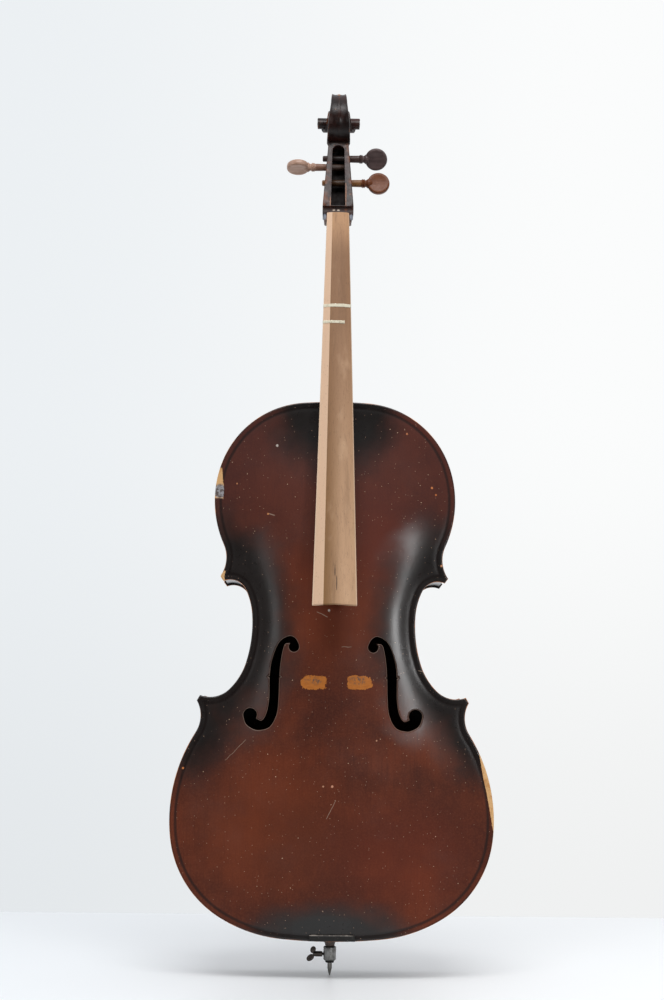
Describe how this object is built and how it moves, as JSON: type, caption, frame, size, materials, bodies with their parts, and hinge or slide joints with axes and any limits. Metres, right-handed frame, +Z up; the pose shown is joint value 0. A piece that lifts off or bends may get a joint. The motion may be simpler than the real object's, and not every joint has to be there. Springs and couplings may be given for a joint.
{
  "type": "cello",
  "caption": "Full-size cello with hollow arched body, carved scroll head, tapered turning pegs and a sliding endpin held by a wing screw; strings, bridge and tailpiece are off.",
  "frame": {"origin": "tip of the endpin, on the endpin's axis", "axes": "+Z up along the instrument towards the scroll, -Y the front (the belly with the sound holes), +X the treble side"},
  "size_m": [0.452, 0.2255, 1.2757],
  "materials": {
    "bare_spruce": "bare wood",
    "black_rubber": "matt",
    "bright_steel": "turned metal",
    "brown_peg_wood": "polished",
    "dark_iron": "oxidised",
    "dark_peg_wood": "polished",
    "ebonised_wood": "satin",
    "paper_tape": "matt tape",
    "plug_wood": "satin",
    "stripped_fingerboard": "bare, unpainted, matt",
    "varnished_back": "worn gloss varnish",
    "varnished_neck": "worn satin varnish",
    "varnished_rib": "worn gloss varnish",
    "varnished_top": "worn gloss varnish, shaded dark round the corners",
    "zinc_steel": "dull turned metal"
  },
  "bodies": {
    "cello": {"back_plate": "varnished_back", "bass_bar": "bare_spruce", "collar_ring": "black_rubber", "end_plug": "plug_wood", "endpin_collar": "zinc_steel", "fingerboard": "stripped_fingerboard", "lining_back_centre_bass": "bare_spruce", "lining_back_centre_treble": "bare_spruce", "lining_back_lower_bass": "bare_spruce", "lining_back_lower_treble": "bare_spruce", "lining_back_upper_bass": "bare_spruce", "lining_back_upper_treble": "bare_spruce", "lining_front_centre_bass": "bare_spruce", "lining_front_centre_treble": "bare_spruce", "lining_front_lower_bass": "bare_spruce", "lining_front_lower_treble": "bare_spruce", "lining_front_upper_bass": "bare_spruce", "lining_front_upper_treble": "bare_spruce", "lower_bass_corner_block": "bare_spruce", "lower_block": "bare_spruce", "lower_treble_corner_block": "bare_spruce", "neck_scroll": "varnished_neck", "rib_centre_bass": "varnished_rib", "rib_centre_treble": "varnished_rib", "rib_lower_bass": "varnished_rib", "rib_lower_treble": "varnished_rib", "rib_upper_bass": "varnished_rib", "rib_upper_treble": "varnished_rib", "saddle": "ebonised_wood", "sound_post": "bare_spruce", "tape_lower": "paper_tape", "tape_upper": "paper_tape", "top_plate": "varnished_top", "upper_bass_corner_block": "bare_spruce", "upper_block": "bare_spruce", "upper_treble_corner_block": "bare_spruce"},
    "peg_g": {"peg_g": "brown_peg_wood"},
    "peg_d": {"peg_d": "brown_peg_wood"},
    "peg_a": {"peg_a": "dark_peg_wood"},
    "endpin": {"endpin_rod": "bright_steel"},
    "screw_shank": {"screw_shank": "dark_iron"},
    "screw_wings": {"screw_wings": "dark_iron"}
  },
  "joints": [
    {"name": "peg_g_turn", "type": "hinge", "parent": "cello", "child": "peg_g", "pos_m": [0, -0.01622, 1.13958], "axis": [1, 0, 0], "continuous": true},
    {"name": "peg_d_turn", "type": "hinge", "parent": "cello", "child": "peg_d", "pos_m": [0, -0.01011, 1.16475], "axis": [-1, 0, 0], "continuous": true},
    {"name": "peg_a_turn", "type": "hinge", "parent": "cello", "child": "peg_a", "pos_m": [0, -0.0067, 1.1788], "axis": [1, 0, 0], "continuous": true},
    {"name": "endpin_slide", "type": "slide", "parent": "cello", "child": "endpin", "axis": [0, 0, -1], "range_m": [0, 0.27]},
    {"name": "screw_advance", "type": "slide", "parent": "cello", "child": "screw_shank", "axis": [-1, 0, 0], "range_m": [0, 0.0015]},
    {"name": "screw_turn", "type": "hinge", "parent": "screw_shank", "child": "screw_wings", "pos_m": [0, 0, 0.0295], "axis": [-1, 0, 0], "range_deg": [0, 720]}
  ],
  "couplings": [
    {"joint": "screw_advance", "follows": "screw_turn", "m_per_rad": 0.00011141}
  ]
}
